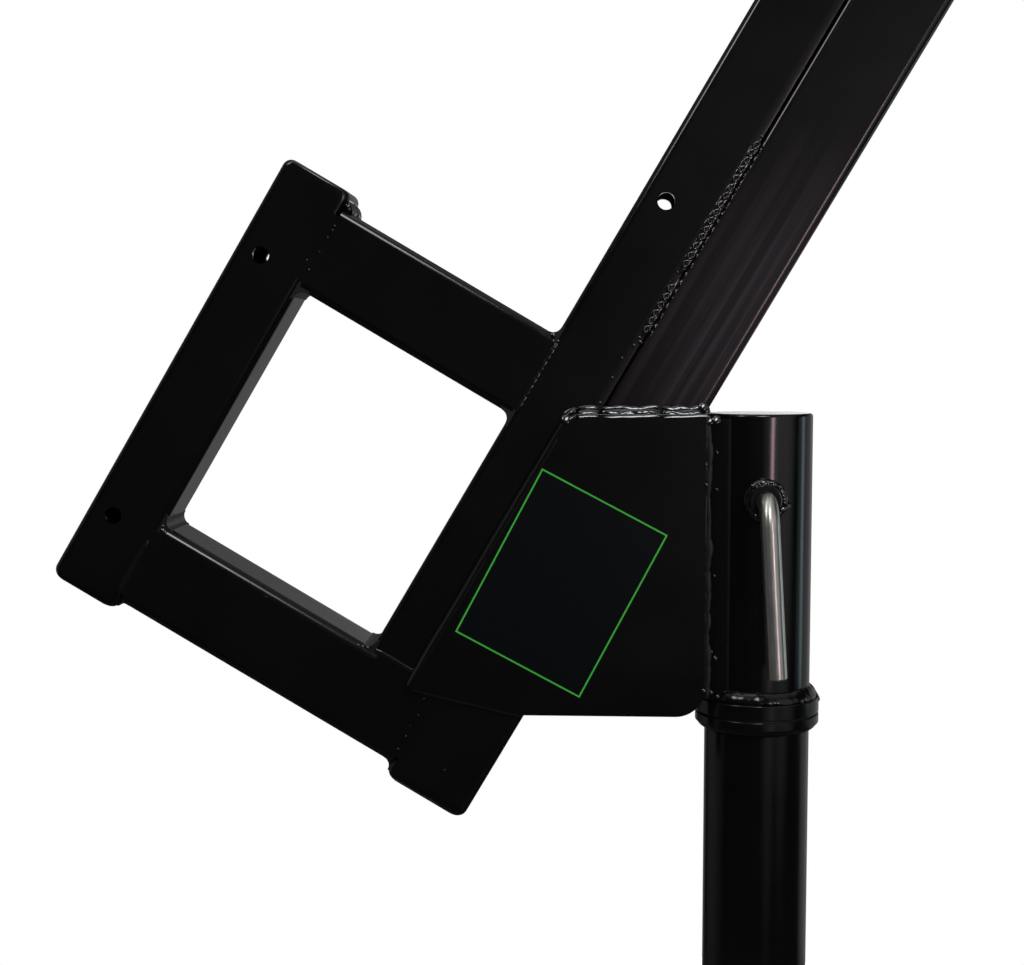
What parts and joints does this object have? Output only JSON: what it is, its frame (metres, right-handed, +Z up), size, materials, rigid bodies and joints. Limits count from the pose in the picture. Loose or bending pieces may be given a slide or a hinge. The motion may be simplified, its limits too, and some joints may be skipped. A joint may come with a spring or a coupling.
{
  "type": "davit crane",
  "caption": "Davit crane: a welded rectangular-tube boom with an open winch frame, on a locking swivel sleeve over a round mast, with rope sheaves at the boom head.",
  "frame": {"origin": "middle of the mast's foot, on its lower face", "axes": "+Z up the mast, +X the way the boom leans, towards the load; the lock handle is on the -Y side"},
  "size_m": [1.3073, 0.1469, 2.2816],
  "materials": {
    "black_coat": "gloss black powder coat on welded steel",
    "stainless": "drawn stainless rod",
    "bare_steel": "bare oiled steel tube",
    "zinc_steel": "bright zinc plate",
    "sheave_steel": "turned steel, zinc plated",
    "bronze": "oiled bronze bush",
    "washer_plastic": "black acetal thrust washer"
  },
  "bodies": {
    "mast": {"mast_tube": "black_coat", "mast_foot_plug": "black_coat", "mast_collar": "black_coat", "thrust_washer": "washer_plastic", "mast_collar_weld": "black_coat", "pivot_tube": "bare_steel"},
    "boom": {"swivel_sleeve": "black_coat", "sleeve_cap": "black_coat", "sleeve_collar": "black_coat", "sleeve_collar_weld": "black_coat", "lock_boss": "black_coat", "lock_boss_weld": "black_coat", "main_tube": "black_coat", "main_bottom_cap": "black_coat", "main_top_cap": "black_coat", "spine_tube": "black_coat", "spine_top_cap": "black_coat", "rear_rail": "black_coat", "rail_bottom_cap": "black_coat", "rail_top_cap": "black_coat", "upper_cross_tube": "black_coat", "lower_cross_tube": "black_coat", "front_gusset": "black_coat", "back_gusset": "black_coat", "gusset_top_welds": "black_coat", "gusset_side_welds": "black_coat", "gusset_sleeve_welds": "black_coat", "frame_corner_welds": "black_coat", "frame_flush_welds": "black_coat", "stitch_welds": "black_coat", "front_cheek": "black_coat", "back_cheek": "black_coat", "head_welds": "black_coat", "axle_bolts": "zinc_steel", "axle_nuts": "zinc_steel", "axle_washers": "zinc_steel", "axle_spacers": "zinc_steel", "rope_keepers": "zinc_steel"},
    "lock_screw": {"lock_screw": "stainless"},
    "lead_sheave": {"lead_sheave": "sheave_steel", "lead_bush": "bronze"},
    "drop_sheave": {"drop_sheave": "sheave_steel", "drop_bush": "bronze"}
  },
  "joints": [
    {"name": "boom_swivel", "type": "hinge", "parent": "mast", "child": "boom", "pos_m": [0, 0, 0.762], "axis": [0, 0, 1], "continuous": true},
    {"name": "lock_screw_turn", "type": "hinge", "parent": "boom", "child": "lock_screw", "pos_m": [0, -0.06, 0.9455], "axis": [0, -1, 0], "range_deg": [0, 630]},
    {"name": "lead_sheave_spin", "type": "hinge", "parent": "boom", "child": "lead_sheave", "pos_m": [0.51599, 0, 2.20486], "axis": [0, 1, 0], "continuous": true},
    {"name": "drop_sheave_spin", "type": "hinge", "parent": "boom", "child": "drop_sheave", "pos_m": [0.63025, 0, 2.13756], "axis": [0, 1, 0], "continuous": true}
  ]
}
